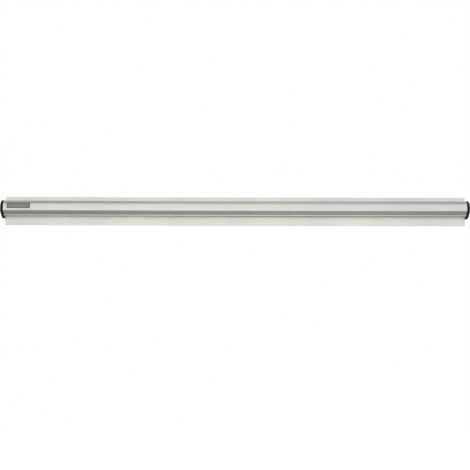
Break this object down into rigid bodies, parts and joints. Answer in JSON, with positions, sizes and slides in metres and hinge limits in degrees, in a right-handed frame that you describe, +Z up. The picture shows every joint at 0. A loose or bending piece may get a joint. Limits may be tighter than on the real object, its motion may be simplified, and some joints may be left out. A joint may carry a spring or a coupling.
{
  "type": "order ticket rail",
  "caption": "Wall-mounted order ticket rail: aluminium plate with a hooded channel, black end caps and loose glass marbles that grip paper slips.",
  "frame": {"origin": "middle of the plate's back face, on the wall", "axes": "+X along the rail to the viewer's right, +Y into the wall, +Z up; the hood faces -Y"},
  "size_m": [0.9294, 0.0289, 0.056],
  "materials": {
    "anodised_aluminium": "extruded, satin natural anodised",
    "black_plastic": "injection moulded, low gloss",
    "label_foil": "satin grey foil with a thin darker border, blank",
    "foam_tape": "closed-cell foam",
    "marble_glass": "clear pressed glass"
  },
  "bodies": {
    "rail": {"rail_extrusion": "anodised_aluminium", "left_end_cap": "black_plastic", "right_end_cap": "black_plastic", "label": "label_foil", "tape_upper": "foam_tape", "tape_lower": "foam_tape"},
    "marble_01": {"marble_01": "marble_glass"},
    "marble_02": {"marble_02": "marble_glass"},
    "marble_03": {"marble_03": "marble_glass"},
    "marble_04": {"marble_04": "marble_glass"},
    "marble_05": {"marble_05": "marble_glass"},
    "marble_06": {"marble_06": "marble_glass"},
    "marble_07": {"marble_07": "marble_glass"},
    "marble_08": {"marble_08": "marble_glass"},
    "marble_09": {"marble_09": "marble_glass"},
    "marble_10": {"marble_10": "marble_glass"},
    "marble_11": {"marble_11": "marble_glass"},
    "marble_12": {"marble_12": "marble_glass"},
    "marble_13": {"marble_13": "marble_glass"},
    "marble_14": {"marble_14": "marble_glass"},
    "marble_15": {"marble_15": "marble_glass"},
    "marble_16": {"marble_16": "marble_glass"},
    "marble_17": {"marble_17": "marble_glass"},
    "marble_18": {"marble_18": "marble_glass"},
    "marble_19": {"marble_19": "marble_glass"},
    "marble_20": {"marble_20": "marble_glass"},
    "marble_21": {"marble_21": "marble_glass"},
    "marble_22": {"marble_22": "marble_glass"},
    "marble_23": {"marble_23": "marble_glass"},
    "marble_24": {"marble_24": "marble_glass"},
    "marble_25": {"marble_25": "marble_glass"},
    "marble_26": {"marble_26": "marble_glass"},
    "marble_27": {"marble_27": "marble_glass"},
    "marble_28": {"marble_28": "marble_glass"},
    "marble_29": {"marble_29": "marble_glass"},
    "marble_30": {"marble_30": "marble_glass"},
    "marble_31": {"marble_31": "marble_glass"},
    "marble_32": {"marble_32": "marble_glass"},
    "marble_33": {"marble_33": "marble_glass"},
    "marble_34": {"marble_34": "marble_glass"},
    "marble_35": {"marble_35": "marble_glass"},
    "marble_36": {"marble_36": "marble_glass"},
    "marble_37": {"marble_37": "marble_glass"},
    "marble_38": {"marble_38": "marble_glass"},
    "marble_39": {"marble_39": "marble_glass"},
    "marble_40": {"marble_40": "marble_glass"},
    "marble_41": {"marble_41": "marble_glass"},
    "marble_42": {"marble_42": "marble_glass"},
    "marble_43": {"marble_43": "marble_glass"},
    "marble_44": {"marble_44": "marble_glass"},
    "marble_45": {"marble_45": "marble_glass"},
    "marble_46": {"marble_46": "marble_glass"},
    "marble_47": {"marble_47": "marble_glass"},
    "marble_48": {"marble_48": "marble_glass"},
    "marble_49": {"marble_49": "marble_glass"}
  },
  "joints": [
    {"name": "marble_01_lift", "type": "slide", "parent": "rail", "child": "marble_01", "axis": [0, -0.866, 0.5], "range_m": [0, 0.0061]},
    {"name": "marble_02_lift", "type": "slide", "parent": "rail", "child": "marble_02", "axis": [0, -0.866, 0.5], "range_m": [0, 0.0061]},
    {"name": "marble_03_lift", "type": "slide", "parent": "rail", "child": "marble_03", "axis": [0, -0.866, 0.5], "range_m": [0, 0.0061]},
    {"name": "marble_04_lift", "type": "slide", "parent": "rail", "child": "marble_04", "axis": [0, -0.866, 0.5], "range_m": [0, 0.0061]},
    {"name": "marble_05_lift", "type": "slide", "parent": "rail", "child": "marble_05", "axis": [0, -0.866, 0.5], "range_m": [0, 0.0061]},
    {"name": "marble_06_lift", "type": "slide", "parent": "rail", "child": "marble_06", "axis": [0, -0.866, 0.5], "range_m": [0, 0.0061]},
    {"name": "marble_07_lift", "type": "slide", "parent": "rail", "child": "marble_07", "axis": [0, -0.866, 0.5], "range_m": [0, 0.0061]},
    {"name": "marble_08_lift", "type": "slide", "parent": "rail", "child": "marble_08", "axis": [0, -0.866, 0.5], "range_m": [0, 0.0061]},
    {"name": "marble_09_lift", "type": "slide", "parent": "rail", "child": "marble_09", "axis": [0, -0.866, 0.5], "range_m": [0, 0.0061]},
    {"name": "marble_10_lift", "type": "slide", "parent": "rail", "child": "marble_10", "axis": [0, -0.866, 0.5], "range_m": [0, 0.0061]},
    {"name": "marble_11_lift", "type": "slide", "parent": "rail", "child": "marble_11", "axis": [0, -0.866, 0.5], "range_m": [0, 0.0061]},
    {"name": "marble_12_lift", "type": "slide", "parent": "rail", "child": "marble_12", "axis": [0, -0.866, 0.5], "range_m": [0, 0.0061]},
    {"name": "marble_13_lift", "type": "slide", "parent": "rail", "child": "marble_13", "axis": [0, -0.866, 0.5], "range_m": [0, 0.0061]},
    {"name": "marble_14_lift", "type": "slide", "parent": "rail", "child": "marble_14", "axis": [0, -0.866, 0.5], "range_m": [0, 0.0061]},
    {"name": "marble_15_lift", "type": "slide", "parent": "rail", "child": "marble_15", "axis": [0, -0.866, 0.5], "range_m": [0, 0.0061]},
    {"name": "marble_16_lift", "type": "slide", "parent": "rail", "child": "marble_16", "axis": [0, -0.866, 0.5], "range_m": [0, 0.0061]},
    {"name": "marble_17_lift", "type": "slide", "parent": "rail", "child": "marble_17", "axis": [0, -0.866, 0.5], "range_m": [0, 0.0061]},
    {"name": "marble_18_lift", "type": "slide", "parent": "rail", "child": "marble_18", "axis": [0, -0.866, 0.5], "range_m": [0, 0.0061]},
    {"name": "marble_19_lift", "type": "slide", "parent": "rail", "child": "marble_19", "axis": [0, -0.866, 0.5], "range_m": [0, 0.0061]},
    {"name": "marble_20_lift", "type": "slide", "parent": "rail", "child": "marble_20", "axis": [0, -0.866, 0.5], "range_m": [0, 0.0061]},
    {"name": "marble_21_lift", "type": "slide", "parent": "rail", "child": "marble_21", "axis": [0, -0.866, 0.5], "range_m": [0, 0.0061]},
    {"name": "marble_22_lift", "type": "slide", "parent": "rail", "child": "marble_22", "axis": [0, -0.866, 0.5], "range_m": [0, 0.0061]},
    {"name": "marble_23_lift", "type": "slide", "parent": "rail", "child": "marble_23", "axis": [0, -0.866, 0.5], "range_m": [0, 0.0061]},
    {"name": "marble_24_lift", "type": "slide", "parent": "rail", "child": "marble_24", "axis": [0, -0.866, 0.5], "range_m": [0, 0.0061]},
    {"name": "marble_25_lift", "type": "slide", "parent": "rail", "child": "marble_25", "axis": [0, -0.866, 0.5], "range_m": [0, 0.0061]},
    {"name": "marble_26_lift", "type": "slide", "parent": "rail", "child": "marble_26", "axis": [0, -0.866, 0.5], "range_m": [0, 0.0061]},
    {"name": "marble_27_lift", "type": "slide", "parent": "rail", "child": "marble_27", "axis": [0, -0.866, 0.5], "range_m": [0, 0.0061]},
    {"name": "marble_28_lift", "type": "slide", "parent": "rail", "child": "marble_28", "axis": [0, -0.866, 0.5], "range_m": [0, 0.0061]},
    {"name": "marble_29_lift", "type": "slide", "parent": "rail", "child": "marble_29", "axis": [0, -0.866, 0.5], "range_m": [0, 0.0061]},
    {"name": "marble_30_lift", "type": "slide", "parent": "rail", "child": "marble_30", "axis": [0, -0.866, 0.5], "range_m": [0, 0.0061]},
    {"name": "marble_31_lift", "type": "slide", "parent": "rail", "child": "marble_31", "axis": [0, -0.866, 0.5], "range_m": [0, 0.0061]},
    {"name": "marble_32_lift", "type": "slide", "parent": "rail", "child": "marble_32", "axis": [0, -0.866, 0.5], "range_m": [0, 0.0061]},
    {"name": "marble_33_lift", "type": "slide", "parent": "rail", "child": "marble_33", "axis": [0, -0.866, 0.5], "range_m": [0, 0.0061]},
    {"name": "marble_34_lift", "type": "slide", "parent": "rail", "child": "marble_34", "axis": [0, -0.866, 0.5], "range_m": [0, 0.0061]},
    {"name": "marble_35_lift", "type": "slide", "parent": "rail", "child": "marble_35", "axis": [0, -0.866, 0.5], "range_m": [0, 0.0061]},
    {"name": "marble_36_lift", "type": "slide", "parent": "rail", "child": "marble_36", "axis": [0, -0.866, 0.5], "range_m": [0, 0.0061]},
    {"name": "marble_37_lift", "type": "slide", "parent": "rail", "child": "marble_37", "axis": [0, -0.866, 0.5], "range_m": [0, 0.0061]},
    {"name": "marble_38_lift", "type": "slide", "parent": "rail", "child": "marble_38", "axis": [0, -0.866, 0.5], "range_m": [0, 0.0061]},
    {"name": "marble_39_lift", "type": "slide", "parent": "rail", "child": "marble_39", "axis": [0, -0.866, 0.5], "range_m": [0, 0.0061]},
    {"name": "marble_40_lift", "type": "slide", "parent": "rail", "child": "marble_40", "axis": [0, -0.866, 0.5], "range_m": [0, 0.0061]},
    {"name": "marble_41_lift", "type": "slide", "parent": "rail", "child": "marble_41", "axis": [0, -0.866, 0.5], "range_m": [0, 0.0061]},
    {"name": "marble_42_lift", "type": "slide", "parent": "rail", "child": "marble_42", "axis": [0, -0.866, 0.5], "range_m": [0, 0.0061]},
    {"name": "marble_43_lift", "type": "slide", "parent": "rail", "child": "marble_43", "axis": [0, -0.866, 0.5], "range_m": [0, 0.0061]},
    {"name": "marble_44_lift", "type": "slide", "parent": "rail", "child": "marble_44", "axis": [0, -0.866, 0.5], "range_m": [0, 0.0061]},
    {"name": "marble_45_lift", "type": "slide", "parent": "rail", "child": "marble_45", "axis": [0, -0.866, 0.5], "range_m": [0, 0.0061]},
    {"name": "marble_46_lift", "type": "slide", "parent": "rail", "child": "marble_46", "axis": [0, -0.866, 0.5], "range_m": [0, 0.0061]},
    {"name": "marble_47_lift", "type": "slide", "parent": "rail", "child": "marble_47", "axis": [0, -0.866, 0.5], "range_m": [0, 0.0061]},
    {"name": "marble_48_lift", "type": "slide", "parent": "rail", "child": "marble_48", "axis": [0, -0.866, 0.5], "range_m": [0, 0.0061]},
    {"name": "marble_49_lift", "type": "slide", "parent": "rail", "child": "marble_49", "axis": [0, -0.866, 0.5], "range_m": [0, 0.0061]}
  ]
}
